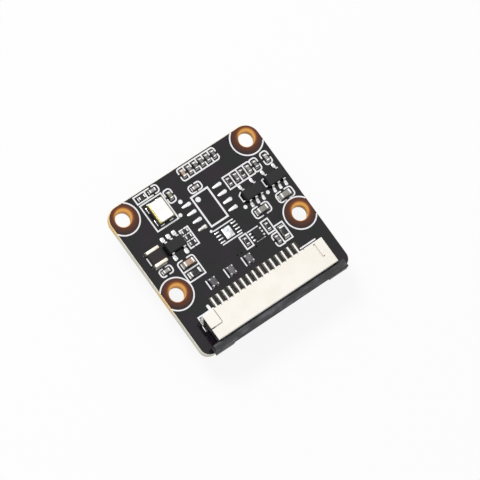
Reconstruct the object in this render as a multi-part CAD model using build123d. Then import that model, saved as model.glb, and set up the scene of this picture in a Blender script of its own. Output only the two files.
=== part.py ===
from build123d import *
import os

# Small camera module: a circuit board with its chips and flat-cable connector on the
# rear face (+Z, up) and a glued sensor and lens unit on the front face (down).
# Millimetres. The origin is the centre of the four mounting holes, on the rear face.

# Circuit board
hole_spacing_x = 21.0
hole_spacing_y = 12.5
hole_edge = 2.0  # hole centre to the top and side edges
hole_radius = 1.1
board_length = 24.0
board_thickness = 1.0
top_corner_radius = 2.0
foot_corner_radius = 1.4
board_width = hole_spacing_x + 2 * hole_edge
board_top = hole_spacing_y / 2 + hole_edge
board_foot = board_top - board_length

# Chips with plated ends: length, width, height, length of an end
small_capacitor = (1.0, 0.5, 0.5, 0.25)
small_resistor = (1.0, 0.5, 0.35, 0.22)
large_capacitor = (1.6, 0.8, 0.8, 0.35)
large_resistor = (1.6, 0.8, 0.45, 0.3)
end_plating = 0.03  # how far a plated end stands proud of its chip

# Where each of them lies on the chip field, which runs from the board's top edge down to
# the contacts' solder pads: share of its width from the left, share of its length from the top,
# chip, turned upright
chip_shares = {
    "resistor_clock": (0.236, 0.053, small_resistor, False),
    "capacitor_clock": (0.306, 0.053, small_capacitor, False),
    "capacitor_clock_side": (0.372, 0.161, small_capacitor, True),
    "capacitor_top_1": (0.507, 0.072, small_capacitor, True),
    "capacitor_top_2": (0.549, 0.072, small_capacitor, True),
    "capacitor_top_3": (0.590, 0.072, small_capacitor, True),
    "capacitor_top_4": (0.630, 0.072, small_capacitor, True),
    "capacitor_top_5": (0.671, 0.072, small_capacitor, True),
    "capacitor_top_6": (0.712, 0.072, small_capacitor, True),
    "capacitor_upper": (0.517, 0.216, small_capacitor, False),
    "resistor_right_1": (0.694, 0.324, small_resistor, True),
    "capacitor_right_1": (0.740, 0.324, small_capacitor, True),
    "resistor_right_2": (0.782, 0.324, small_resistor, True),
    "capacitor_right_2": (0.826, 0.324, small_capacitor, True),
    "capacitor_right_3": (0.874, 0.324, small_capacitor, True),
    "capacitor_right_4": (0.947, 0.327, small_capacitor, True),
    "capacitor_output_1": (0.752, 0.651, large_capacitor, False),
    "capacitor_output_2": (0.910, 0.651, large_capacitor, False),
    "resistor_left_1": (0.320, 0.461, small_resistor, False),
    "resistor_left_2": (0.320, 0.512, small_resistor, False),
    "resistor_left_3": (0.320, 0.568, small_resistor, False),
    "capacitor_hole": (0.104, 0.641, small_capacitor, False),
    "capacitor_lower_left": (0.232, 0.683, large_capacitor, False),
    "resistor_lower_left": (0.232, 0.773, large_resistor, False),
    "resistor_lower_1": (0.573, 0.793, small_resistor, True),
    "resistor_lower_2": (0.722, 0.785, small_resistor, True),
    "capacitor_lower_right": (0.726, 0.914, small_capacitor, True),
    "resistor_lower_right": (0.780, 0.889, large_resistor, True),
}

# Three chokes with four plated corners, in a row
choke_size = (0.95, 1.3, 0.6)
choke_corner = (0.24, 0.3)
choke_first_share = (0.284, 0.916)
choke_pitch = 3.02
choke_count = 3

# Voltage regulators in moulded cases with five gull-wing leads: place, three leads up
regulator_shares = {
    "regulator_left": (0.229, 0.508, True),
    "regulator_middle": (0.764, 0.493, False),
    "regulator_right": (0.918, 0.493, False),
}
regulator_size = (2.9, 1.6, 1.05)
regulator_standoff = 0.08
regulator_draft = 0.1
lead_pitch = 0.95
lead_width = 0.38
lead_thickness = 0.15
lead_reach = 0.65  # lead tip beyond the case
lead_foot = 0.35

# Level shifter in a tiny case with six flat leads
shifter_share = (0.648, 0.790)
shifter_size = (1.2, 1.6, 0.55)
shifter_lead = (0.22, 0.22, 0.12)
shifter_pitch = 0.5

# Clock oscillator: ceramic base with a brazed ring, and a metal lid
oscillator_share = (0.273, 0.224)
oscillator_size = (2.5, 3.2, 1.05)
oscillator_corner = 0.22
ring_slope = 0.2  # sloping sides of the ring, along the base's long edges
lid_side_inset = 0.22
lid_end_inset = 0.09
lid_height = 0.12

# Power inductor: ferrite block and two wrapped terminals
inductor_share = (0.100, 0.510)
inductor_size = (2.0, 2.5, 1.0)
inductor_corner = 0.2
terminal_length = 0.5
terminal_thickness = 0.04

# Tinned pads of two chips that are not fitted
pad_height = 0.1
wide_pad_length = 1.6
wide_pad_tip = 0.24  # radius at the narrow end
wide_pad_heel = 0.34  # radius at the wide end
wide_pad_pitch = 1.27
wide_pad_rows = 4
wide_pad_span = 5.2  # middle of one column of pads to the other
wide_pad_share = (0.520, 0.405)
small_pad = (0.8, 0.24)
small_pad_pitch = 0.5
small_pad_rows = 4
small_pad_span = 2.82
small_pad_share = (0.521, 0.651)
heat_pad = (1.35, 1.6)

# Flat-cable connector housing
contact_count = 15
contact_pitch = 1.0
cable_side_gap = 0.15
end_wall = 2.0  # housing beyond each side of the mouth
housing_depth = 3.96
housing_roof = 0.7
housing_setback = 0.9  # front face to the board's foot
housing_bevel = 0.1
rear_wall = 0.8
mouth_floor = 0.5
mouth_flare = 0.2
rear_notch_width = 0.16
rear_notch_depth = 0.2
end_groove_width = 0.16
end_groove_depth = 0.25
end_groove_length = 2.2
end_block_length = 1.8
rib_groove_width = 0.28  # the wider groove near the right end, with a short foot
rib_groove_setback = 0.25
rib_groove_inset = 1.55
rib_groove_foot = 0.4
channel_depth = 0.65  # side channels for the slider's arms
channel_floor = 0.3
channel_roof = 0.25
channel_post = 0.25  # wall behind each channel
channel_ledge_inset = 0.45  # ledge under each arm, behind the housing's side
web_thickness = 0.15  # sloping web that closes the rear of each channel outside
web_run = 0.55
hook_depth = 0.3

# Connector contacts
contact_thickness = 0.26
contact_clearance = 0.05
contact_inset = 0.15  # contact's body to the inner face of the rear wall
contact_body_height = 1.1
contact_tail_length = 1.69
contact_pad_margin = 0.1  # solder pad beyond each contact's tail
contact_tail_height = 0.2
contact_heel = 0.12
contact_shoulder = 0.6
beam_thickness = 0.17
beam_lift = 0.05  # gap under the spring beam
beam_setback = 0.75  # beam's tip to the housing's front face
bump_length = 0.7
bump_height = 0.2

# Locking slider
slider_travel = 1.2
slider_clearance = 0.06
flange_gap = 0.07
flange_ear = 0.95  # ear beyond the housing's side
flange_depth = 1.23
flange_lip = 0.11  # flange above the tongue
flange_foot = 0.1
flange_bevel = 0.12
cable_gap = 0.3
tongue_thickness = 0.32
tongue_end_gap = 0.85  # tongue's nose to the back of the mouth
tongue_nose = 0.12
hook_length = 0.5

# Board locks that solder the housing down
lock_length = 1.0
lock_height = 0.12
lock_foot = 0.17  # foot beyond the housing's side

# Sensor and lens unit under the board
front_height = 5.5  # board's front face to the lens barrel's front
unit_corner = 0.5
pad_inset = 0.25
foam_thickness = 0.35
stiffener_thickness = 0.35
flex_thickness = 0.12
flex_neck_width = 5.2
flex_neck_length = 4.6
flex_margin = 0.25  # flex beyond the socket
flex_corner = 0.4
holder_wall = 0.8
holder_base_height = 2.5
holder_neck_wall = 0.92
holder_neck_height = 1.3
holder_bevel = 0.25
sensor_size = (5.6, 4.8, 0.5)
sensor_room = 0.65  # sensor to the holder's wall
filter_step = 0.85  # filter's pocket inside the holder's wall
filter_thickness = 0.3
filter_gap = 0.4  # sensor to filter
filter_ledge = 0.5
barrel_radius = 2.75
barrel_clearance = 0.03
barrel_end_gap = 0.1  # barrel's rear to the filter ledge
barrel_bevel = 0.15
barrel_notch = (0.5, 0.4, 0.3)
barrel_notch_count = 4
barrel_wall = 0.7
lens_seat_radius = 1.6
lens_seat_depth = 0.7
lens_clearance = 0.03
cone_mouth_radius = 1.95
cone_throat_radius = 1.05
cone_depth = 0.5
lens_edge = 0.35
lens_dome = 0.25

# Plug and socket that join the flex to the board
socket_size = (7.0, 2.5, 0.5)
socket_wall = 0.35
socket_floor = 0.1
plug_clearance = 0.05

# Derived sizes
cable_width = (contact_count + 1) * contact_pitch
mouth_width = cable_width + 2 * cable_side_gap
mouth_depth = housing_depth - rear_wall
beam_bottom = mouth_floor + beam_lift
beam_top = beam_bottom + beam_thickness
cable_top = beam_top + bump_height + cable_gap
tongue_top = cable_top + tongue_thickness
mouth_ceiling = tongue_top + slider_clearance
housing_length = mouth_width + 2 * end_wall
housing_height = mouth_ceiling + housing_roof
channel_top = housing_height - channel_roof
flange_length = housing_length + 2 * flange_ear
flange_top = tongue_top + flange_lip
unit_side = sensor_size[0] + 2 * (sensor_room + holder_wall)
holder_room = unit_side - 2 * holder_wall
filter_side = holder_room - 2 * filter_step
barrel_bore = barrel_radius + barrel_clearance
holder_neck_radius = barrel_bore + holder_neck_wall
flex_end_length = socket_size[0] + 2 * flex_margin
flex_end_width = socket_size[1] + 2 * flex_margin

# Derived places
housing_front = board_foot + housing_setback
housing_rear = housing_front + housing_depth
housing_middle = (housing_front + housing_rear) / 2
field_foot = housing_rear + contact_tail_length + contact_pad_margin
flange_rear = housing_front - flange_gap
channel_rear = housing_rear - channel_post
arm_outer = housing_length / 2 - web_thickness - slider_clearance
unit_y = -hole_spacing_y / 2
foam_front = -board_thickness - foam_thickness
stiffener_front = foam_front - stiffener_thickness
flex_front = stiffener_front - flex_thickness
holder_shoulder = flex_front - holder_base_height
holder_front = holder_shoulder - holder_neck_height
barrel_front = -board_thickness - front_height
filter_front = flex_front - sensor_size[2] - filter_gap - filter_thickness
filter_rear = filter_front + filter_thickness
ledge_front = filter_front - filter_ledge
barrel_rear = ledge_front - barrel_end_gap
flex_end_y = unit_y + unit_side / 2 + flex_neck_length


def spot(across, down):
    """Place on the rear face, from the shares of the chip field across and down."""
    x = (across - 1 / 2) * board_width
    y = board_top - down * (board_top - field_foot)
    return x, y


def plate(length, width, z_low, z_high, corner=0.0):
    """Flat plate between two heights, with round corners where a radius is given."""
    outline = RectangleRounded(length, width, corner) if corner else Rectangle(length, width)
    return Pos(0, 0, z_low) * extrude(outline, amount=z_high - z_low)


def side_profile(points, width):
    """Closed profile in the YZ plane, made into a bar of the given width along X."""
    outline = make_face(Polyline(points, close=True))
    return extrude(Plane.YZ * outline, amount=width / 2, both=True)


def circuit_board():
    """Board with four mounting holes, round corners by the holes and smaller ones below."""
    board = Pos(0, (board_top + board_foot) / 2) * Rectangle(board_width, board_length)
    corners = board.vertices().sort_by(Axis.Y)
    board = fillet(corners[2:], top_corner_radius)
    board = fillet(board.vertices().sort_by(Axis.Y)[:2], foot_corner_radius)
    board -= GridLocations(hole_spacing_x, hole_spacing_y, 2, 2) * Circle(hole_radius)
    return extrude(board, amount=-board_thickness)


def plated_chip(size, upright):
    """Chip block with a slightly larger plated end at each side."""
    length, width, height, end = size
    block = plate(length - end, width - 2 * end_plating, 0, height - end_plating)
    ends = GridLocations(length - end, 1, 2, 1) * plate(end, width, 0, height)
    chip = block + ends
    return Rot(0, 0, 90) * chip if upright else chip


def choke():
    """Chip choke: a block whose four corners are plated."""
    length, width, height = choke_size
    corner_x, corner_y = choke_corner
    block = plate(length - 2 * end_plating, width - 2 * end_plating, 0, height - end_plating)
    grid = GridLocations(length - corner_x, width - corner_y, 2, 2)
    return block + grid * plate(corner_x, corner_y, 0, height)


def moulded_case(length, width, z_low, z_high, draft):
    """Moulded case that tapers both ways from its parting line at half height."""
    z_middle = (z_low + z_high) / 2
    narrow = Rectangle(length - 2 * draft, width - 2 * draft)
    sections = [Pos(0, 0, z_low) * narrow, Pos(0, 0, z_middle) * Rectangle(length, width)]
    sections.append(Pos(0, 0, z_high) * narrow)
    return loft(sections, ruled=True)


def gull_lead(case_edge, exit_height):
    """Bent lead that leaves a case edge towards +Y and comes down to a flat foot."""
    tip = case_edge + lead_reach
    heel = tip - lead_foot
    bend = case_edge + (heel - case_edge) / 2
    half = lead_thickness / 2
    points = [
        (case_edge, exit_height + half),
        (bend, exit_height + half),
        (heel + half, lead_thickness),
        (tip, lead_thickness),
        (tip, 0),
        (heel - half, 0),
        (bend - half, exit_height - half),
        (case_edge, exit_height - half),
    ]
    return side_profile(points, lead_width)


def regulator(three_up):
    """Case and leads of a regulator: three leads on one long side, two on the other."""
    length, width, height = regulator_size
    case = moulded_case(length, width, regulator_standoff, height, regulator_draft)
    lead = gull_lead(width / 2, (regulator_standoff + height) / 2)
    three = [Pos(step * lead_pitch, 0) * lead for step in (-1, 0, 1)]
    two = [Pos(step * lead_pitch, 0) * lead for step in (-1, 1)]
    leads = three + [Rot(0, 0, 180) * item for item in two]
    turn = Rot(0, 0, 0 if three_up else 180)
    return turn * case, Compound([turn * item for item in leads])


def level_shifter():
    """Tiny case and its six flat leads."""
    length, width, height = shifter_size
    lead_x, lead_y, lead_z = shifter_lead
    case = moulded_case(length, width, 0, height, regulator_draft / 2)
    grid = GridLocations(length + lead_x, shifter_pitch, 2, 3)
    return case, Compound([place * plate(lead_x, lead_y, 0, lead_z) for place in grid])


def oscillator_base():
    """Ceramic base with hollow corners, its long top edges sloped by the brazed ring."""
    length, width, height = oscillator_size
    outline = Rectangle(length, width)
    outline -= GridLocations(length, width, 2, 2) * Circle(oscillator_corner)
    base = extrude(outline, amount=height)
    long_edges = base.edges().filter_by(Axis.Y).sort_by(Axis.Z)[-2:]
    return chamfer(long_edges, ring_slope)


def oscillator_lid():
    """Flat metal lid welded to the seal ring."""
    length, width, height = oscillator_size
    lid_length = length - 2 * lid_side_inset
    lid_width = width - 2 * lid_end_inset
    return plate(lid_length, lid_width, height, height + lid_height, oscillator_corner)


def inductor():
    """Ferrite block with rounded corners, and the two metal caps wrapped round its ends."""
    length, width, height = inductor_size
    core = plate(length, width, 0, height, inductor_corner)
    skin = plate(
        length + 2 * terminal_thickness,
        width + 2 * terminal_thickness,
        0,
        height + terminal_thickness,
        inductor_corner + terminal_thickness,
    )
    ends = GridLocations(1, width + 2 * terminal_thickness - terminal_length, 1, 2)
    band = plate(length * 2, terminal_length, 0, height * 2)
    return core, Compound([(skin & place * band) - core for place in ends])


def wide_pad():
    """Tinned pad with a round narrow end and a wide round end inwards."""
    reach = wide_pad_length / 2
    narrow = CenterArc((wide_pad_tip - reach, 0), wide_pad_tip, 0, 360)
    wide = CenterArc((reach - wide_pad_heel, 0), wide_pad_heel, 0, 360)
    return extrude(make_hull([narrow, wide]), amount=pad_height)


def pad_columns(pad, span, rows, pitch, shares):
    """Two columns of pads about a place on the chip field."""
    centre = Pos(*spot(*shares))
    return [centre * place * pad for place in GridLocations(span, pitch, 2, rows)]


def tinned_pads():
    """Pads of the two empty footprints."""
    slip = plate(*small_pad, 0, pad_height)
    wide = pad_columns(wide_pad(), wide_pad_span, wide_pad_rows, wide_pad_pitch, wide_pad_share)
    small = pad_columns(slip, small_pad_span, small_pad_rows, small_pad_pitch, small_pad_share)
    heat = Pos(*spot(*small_pad_share)) * plate(*heat_pad, 0, pad_height)
    return Compound([*wide, *small, heat])


def contact_places():
    """Middle of each contact along the connector."""
    first = -(contact_count - 1) / 2 * contact_pitch
    return [first + step * contact_pitch for step in range(contact_count)]


def mouth():
    """Space for the cable, with a flared lip at the front."""
    back = housing_front + mouth_depth
    lip = housing_front - mouth_flare
    points = [
        (back, mouth_floor),
        (back, mouth_ceiling),
        (housing_front + mouth_flare, mouth_ceiling),
        (lip, mouth_ceiling + 2 * mouth_flare),
        (lip, mouth_floor),
    ]
    return side_profile(points, mouth_width)


def arm_channel():
    """Space on the right side for a slider arm, and the pocket that its hook runs in."""
    outer = housing_length / 2
    inner = outer - channel_depth
    deep = inner - hook_depth - slider_clearance
    pocket_front = channel_rear - 2 * slider_clearance - hook_length - slider_travel
    points = [
        (outer * 2, channel_rear),
        (deep, channel_rear),
        (deep, pocket_front),
        (inner, pocket_front),
        (inner, housing_front - flange_gap),
        (outer * 2, housing_front - flange_gap),
    ]
    outline = make_face(Polyline(points, close=True))
    return Pos(0, 0, channel_floor) * extrude(outline, amount=channel_top - channel_floor)


def channel_web():
    """Thin web outside the rear of the right channel, its front edge sloping to the foot."""
    points = [
        (channel_rear, 0),
        (channel_rear, channel_top),
        (channel_rear - web_run, 0),
    ]
    return Pos(housing_length / 2 - web_thickness / 2, 0) * side_profile(points, web_thickness)


def ledge_cut():
    """Space beside the ledge under the right arm, from the web to the front."""
    rear = channel_rear - web_run
    length = rear - housing_front + flange_gap
    outer = housing_length / 2
    cut = plate(2 * channel_ledge_inset, length, 0, channel_floor)
    return Pos(outer, rear - length / 2) * cut


def end_grooves():
    """Grooves in the top: an L round the left block, and a wider one with a foot at the right."""
    floor = housing_height - end_groove_depth
    left = end_block_length - housing_length / 2
    right = housing_length / 2 - rib_groove_inset
    foot_y = housing_rear - end_groove_length
    along = plate(end_groove_width, end_groove_length, floor, housing_height)
    across = plate(end_block_length, end_groove_width, floor, housing_height)
    rib = plate(rib_groove_width, end_groove_length, floor, housing_height)
    foot = plate(rib_groove_foot, end_groove_width, floor, housing_height)
    return [
        Pos(left, housing_rear - end_groove_length / 2) * along,
        Pos(left - end_block_length / 2, foot_y) * across,
        Pos(right, housing_rear - rib_groove_setback - end_groove_length / 2) * rib,
        Pos(right + rib_groove_foot / 2, foot_y - rib_groove_setback + end_groove_width / 2) * foot,
    ]


def ffc_housing():
    """Moulded connector housing: cable mouth, contact cavities and the slider's channels."""
    body = Pos(0, housing_middle) * plate(housing_length, housing_depth, 0, housing_height)
    body = chamfer(body.faces().sort_by(Axis.Z)[-1].edges(), housing_bevel)
    body -= mouth()
    channel = arm_channel() + ledge_cut()
    body -= [channel, mirror(channel, about=Plane.YZ)]
    web = channel_web()
    body += [web, mirror(web, about=Plane.YZ)]
    cavity_width = contact_thickness + 2 * contact_clearance
    cavity = Pos(0, housing_rear) * plate(cavity_width, 2 * rear_wall, 0, contact_body_height)
    notch = Pos(0, housing_rear) * plate(rear_notch_width, 2 * rear_notch_depth, 0, housing_height)
    for x in contact_places():
        body -= [Pos(x, 0) * cavity, Pos(x, 0) * notch]
    body -= end_grooves()
    return body


def ffc_contact():
    """Stamped contact: solder tail, body held in the rear wall, and a sprung beam with a bump."""
    tail_tip = housing_rear + contact_tail_length
    heel = housing_rear + contact_heel
    body_front = housing_rear - rear_wall + contact_inset
    beam_tip = housing_front + beam_setback
    bump_rear = beam_tip + bump_length
    outline = Polyline(
        (bump_rear, beam_top),
        (body_front, beam_top),
        (body_front, contact_body_height),
        (housing_rear - contact_heel, contact_body_height),
        (heel, contact_shoulder),
        (heel, contact_tail_height),
        (tail_tip, contact_tail_height),
        (tail_tip, 0),
        (body_front, 0),
        (body_front, beam_bottom),
        (beam_tip, beam_bottom),
        (beam_tip, beam_top),
    )
    bump_middle = ((beam_tip + bump_rear) / 2, beam_top + bump_height)
    bump = ThreePointArc((beam_tip, beam_top), bump_middle, (bump_rear, beam_top))
    face = make_face([*outline.edges(), bump])
    return extrude(Plane.YZ * face, amount=contact_thickness / 2, both=True)


def slider_arm():
    """Arm on the right side that rides in its channel and ends in an inward hook."""
    inner = housing_length / 2 - channel_depth + slider_clearance
    tip = channel_rear - slider_clearance
    points = [
        (arm_outer, flange_rear),
        (arm_outer, tip),
        (inner - hook_depth + hook_length / 4, tip),
        (inner - hook_depth, tip - hook_length / 4),
        (inner - hook_depth, tip - hook_length),
        (inner, tip - hook_length),
        (inner, flange_rear),
    ]
    outline = make_face(Polyline(points, close=True))
    floor = channel_floor + slider_clearance
    return Pos(0, 0, floor) * extrude(outline, amount=channel_top - slider_clearance - floor)


def ffc_slider():
    """Locking slider, pushed home: pull bar with an ear at each end, tongue and hooked arms."""
    half = flange_length / 2
    opening = mouth_width / 2
    points = [
        (-half, flange_foot),
        (-half, flange_top),
        (half, flange_top),
        (half, flange_foot),
        (opening, flange_foot),
        (opening, cable_top),
        (-opening, cable_top),
        (-opening, flange_foot),
    ]
    front_view = make_face(Polyline(points, close=True))
    bar = extrude(Plane.XZ.offset(-flange_rear) * front_view, amount=flange_depth)
    bar = chamfer(bar.edges().filter_by(Axis.X).sort_by(Axis.Z)[-2:], flange_bevel)
    nose = housing_front + mouth_depth - tongue_end_gap
    tongue = side_profile(
        [
            (flange_rear, cable_top),
            (flange_rear, tongue_top),
            (nose, tongue_top),
            (nose, cable_top + tongue_nose),
            (nose - 2 * tongue_nose, cable_top),
        ],
        mouth_width - 4 * slider_clearance,
    )
    arm = slider_arm()
    return bar + tongue + arm + mirror(arm, about=Plane.YZ)


def board_lock():
    """Flat stamped tab from the right ledge, under the arm, soldered to the board."""
    reach = channel_ledge_inset + lock_foot
    middle = housing_length / 2 + lock_foot - reach / 2
    rear = channel_rear - web_run - slider_clearance
    return Pos(middle, rear - lock_length / 2) * plate(reach, lock_length, 0, lock_height)


def flex_circuit():
    """Flex under the lens unit, its narrower neck, and the wide end that carries the plug."""
    reach = flex_end_y - unit_y
    outline = RectangleRounded(unit_side - pad_inset, unit_side - pad_inset, unit_corner)
    outline += Pos(0, reach / 2) * Rectangle(flex_neck_width, reach)
    outline += Pos(0, reach) * RectangleRounded(flex_end_length, flex_end_width, flex_corner)
    return Pos(0, unit_y, flex_front) * extrude(outline, amount=flex_thickness)


def lens_holder():
    """Hollow moulded holder: square base over the sensor and a round neck for the barrel."""
    base = Pos(0, 0, holder_shoulder) * extrude(
        RectangleRounded(unit_side, unit_side, unit_corner), amount=holder_base_height
    )
    base = chamfer(base.faces().sort_by(Axis.Z)[0].edges(), holder_bevel)
    neck = Pos(0, 0, holder_front) * extrude(Circle(holder_neck_radius), amount=holder_neck_height)
    neck = chamfer(neck.edges().sort_by(Axis.Z)[0], holder_bevel / 2)
    ledge = filter_side - 2 * filter_ledge
    holder = base + neck
    holder -= plate(holder_room, holder_room, filter_rear, flex_front)
    holder -= plate(filter_side, filter_side, filter_front, filter_rear)
    holder -= plate(ledge, ledge, ledge_front, filter_front)
    bore = extrude(Circle(barrel_bore), amount=ledge_front - holder_front)
    return Pos(0, unit_y) * (holder - Pos(0, 0, holder_front) * bore)


def lens_barrel():
    """Turned barrel: conical hood in front, seat for the lens, hollow behind, spanner notches."""
    inner = barrel_radius - barrel_wall
    throat = barrel_front + cone_depth
    seat = throat + lens_seat_depth
    points = [
        (cone_mouth_radius, barrel_front),
        (barrel_radius - barrel_bevel, barrel_front),
        (barrel_radius, barrel_front + barrel_bevel),
        (barrel_radius, barrel_rear),
        (inner, barrel_rear),
        (inner, seat),
        (lens_seat_radius, seat),
        (lens_seat_radius, throat),
        (cone_throat_radius, throat),
    ]
    barrel = revolve(Plane.XZ * make_face(Polyline(points, close=True)), axis=Axis.Z)
    across, along, deep = barrel_notch
    notch = plate(2 * along, across, barrel_front, barrel_front + deep)
    barrel -= PolarLocations(barrel_radius, barrel_notch_count) * notch
    return Pos(0, unit_y) * barrel


def front_lens():
    """Front lens: a flat edge with a dome on its outer side, seated behind the hood."""
    radius = lens_seat_radius - lens_clearance
    throat = barrel_front + cone_depth
    dome_edge = cone_throat_radius - lens_clearance
    flat = Polyline(
        (dome_edge, throat),
        (radius, throat),
        (radius, throat + lens_edge),
        (0, throat + lens_edge),
        (0, throat - lens_dome),
    )
    dome = TangentArc((0, throat - lens_dome), (dome_edge, throat), tangent=(1, 0))
    profile = make_face([*flat.edges(), dome])
    return Pos(0, unit_y) * revolve(Plane.XZ * profile, axis=Axis.Z)


def board_socket():
    """Receptacle on the board for the flex's plug: a shallow tray with an open front."""
    length, width, height = socket_size
    tray = plate(length, width, -board_thickness - height, -board_thickness)
    floor = -board_thickness - socket_floor
    tray -= plate(length - 2 * socket_wall, width - 2 * socket_wall, -board_thickness - height, floor)
    return Pos(0, flex_end_y) * tray


def flex_plug():
    """Plug under the flex's wide end, pressed into the receptacle."""
    length, width, height = socket_size
    shrink = 2 * (socket_wall + plug_clearance)
    tip = -board_thickness - socket_floor
    core = plate(length - shrink, width - shrink, stiffener_front, tip)
    return Pos(0, flex_end_y) * core


def build_parts():
    """Every sub-part by its name."""
    parts = {"circuit_board": circuit_board(), "tinned_pads": tinned_pads()}
    for name, (across, down, size, upright) in chip_shares.items():
        parts[name] = Pos(*spot(across, down)) * plated_chip(size, upright)
    for step in range(choke_count):
        first = Pos(*spot(*choke_first_share))
        parts[f"choke_{step + 1}"] = first * Pos(step * choke_pitch, 0) * choke()
    for name, (across, down, three_up) in regulator_shares.items():
        case, leads = regulator(three_up)
        parts[name] = Pos(*spot(across, down)) * case
        parts[name + "_leads"] = Pos(*spot(across, down)) * leads
    shifter, shifter_leads = level_shifter()
    parts["level_shifter"] = Pos(*spot(*shifter_share)) * shifter
    parts["level_shifter_leads"] = Pos(*spot(*shifter_share)) * shifter_leads
    parts["oscillator_base"] = Pos(*spot(*oscillator_share)) * oscillator_base()
    parts["oscillator_lid"] = Pos(*spot(*oscillator_share)) * oscillator_lid()
    core, caps = inductor()
    parts["inductor_core"] = Pos(*spot(*inductor_share)) * core
    parts["inductor_terminals"] = Pos(*spot(*inductor_share)) * caps
    parts["ffc_housing"] = ffc_housing()
    parts["ffc_slider"] = ffc_slider()
    contact = ffc_contact()
    parts["ffc_contacts"] = Compound([Pos(x, 0) * contact for x in contact_places()])
    lock = board_lock()
    parts["ffc_board_locks"] = Compound([lock, mirror(lock, about=Plane.YZ)])
    unit = Pos(0, unit_y)
    foam_side = unit_side - 2 * pad_inset
    parts["foam_pad"] = unit * plate(foam_side, foam_side, foam_front, -board_thickness, unit_corner)
    stiffener = plate(unit_side, unit_side, stiffener_front, foam_front, unit_corner)
    parts["stiffener_plate"] = unit * stiffener
    parts["flex_circuit"] = flex_circuit()
    sensor_length, sensor_width, sensor_height = sensor_size
    sensor = plate(sensor_length, sensor_width, flex_front - sensor_height, flex_front)
    parts["image_sensor"] = unit * sensor
    parts["infrared_filter"] = unit * plate(filter_side, filter_side, filter_front, filter_rear)
    parts["lens_holder"] = lens_holder()
    parts["lens_barrel"] = lens_barrel()
    parts["front_lens"] = front_lens()
    parts["board_socket"] = board_socket()
    parts["flex_plug"] = flex_plug()
    return parts


os.makedirs("parts", exist_ok=True)
for part_name, solid in build_parts().items():
    export_step(solid, f"parts/{part_name}.step")
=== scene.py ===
import math
import random

import bmesh
import bpy
from mathutils import Matrix, Vector


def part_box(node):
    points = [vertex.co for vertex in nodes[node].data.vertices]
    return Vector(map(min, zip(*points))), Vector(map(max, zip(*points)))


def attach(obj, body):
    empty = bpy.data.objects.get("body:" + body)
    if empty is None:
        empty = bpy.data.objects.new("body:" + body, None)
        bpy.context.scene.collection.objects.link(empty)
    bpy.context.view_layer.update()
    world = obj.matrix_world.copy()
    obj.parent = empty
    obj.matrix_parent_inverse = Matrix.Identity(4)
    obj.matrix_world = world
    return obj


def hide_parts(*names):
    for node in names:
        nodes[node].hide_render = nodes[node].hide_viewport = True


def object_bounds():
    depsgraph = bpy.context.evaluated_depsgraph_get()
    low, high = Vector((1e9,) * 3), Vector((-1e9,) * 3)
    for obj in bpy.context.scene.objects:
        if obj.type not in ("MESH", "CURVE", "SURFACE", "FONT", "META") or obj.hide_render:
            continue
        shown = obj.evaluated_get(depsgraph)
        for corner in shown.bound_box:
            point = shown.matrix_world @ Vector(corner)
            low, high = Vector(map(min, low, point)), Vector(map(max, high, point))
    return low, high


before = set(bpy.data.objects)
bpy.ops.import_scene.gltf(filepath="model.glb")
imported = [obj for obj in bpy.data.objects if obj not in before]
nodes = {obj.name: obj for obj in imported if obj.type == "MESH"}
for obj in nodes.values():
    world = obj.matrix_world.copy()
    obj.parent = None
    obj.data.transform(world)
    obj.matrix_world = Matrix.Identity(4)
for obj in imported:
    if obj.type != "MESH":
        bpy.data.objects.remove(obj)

cad_low, cad_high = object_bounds()
draw = random.Random(11)

# Everything below is worked out in millimetres and made in metres. The origin is the centre
# of the four mounting holes, on the rear face, which looks up.
MM = 0.001
BOARD = "board_unit"  # the body that every new piece rides on


def box_mm(node):
    """Lowest and highest corner of a CAD node, in millimetres."""
    low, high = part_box(node)
    return low / MM, high / MM


board_low, board_high = box_mm("circuit_board")
FIRST_HOLE = (10.5, 6.25)  # the other three are its mirror images
HOLES = [(sx * FIRST_HOLE[0], sy * FIRST_HOLE[1]) for sx in (-1, 1) for sy in (-1, 1)]
HOLE_RADIUS = 1.1
CLEAR_ZONE = 2.3  # no copper this near to a hole's middle
RING_RADIUS = 2.32
RING_MARGIN = 0.12  # the printed rings end this far from the board's edge
TOP_CORNER = 2.0
FOOT_CORNER = 1.4
MASK_SHIFT = 0.05  # the mask lies that much to the right of the laminate
PRINT_WIDTH = 0.2
THIN_PRINT = 0.17
PRINT_HEIGHT = 0.018
TRACE_WIDTH = 0.2
TRACE_HEIGHT = 0.014
TRACE_STEP = 0.0003  # each trace is that much lower than the one before it
GROOVE_FLOOR = 2.05  # in the top of the connector's housing
LEFT_GROOVE = -8.27  # across, the middle of the long groove beside its left block
CONTACTS = 15  # in the connector, one millimetre apart
REGULATORS = ("regulator_left", "regulator_middle", "regulator_right")
WHITE = (1, 1, 1, 1)


def on_board(across, down):
    """Frame place of a point given from the board's left and top edges."""
    return board_low.x + across, board_high.y - down


def route(line):
    """Frame places of points given from the board's left and top edges."""
    return [on_board(*point) for point in line]


# Finishes


def paint(code):
    """Linear colour of an sRGB hex code."""
    parts = [int(code[i : i + 2], 16) / 255 for i in (1, 3, 5)]
    linear = [v / 12.92 if v <= 0.04045 else ((v + 0.055) / 1.055) ** 2.4 for v in parts]
    return (*linear, 1.0)


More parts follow.
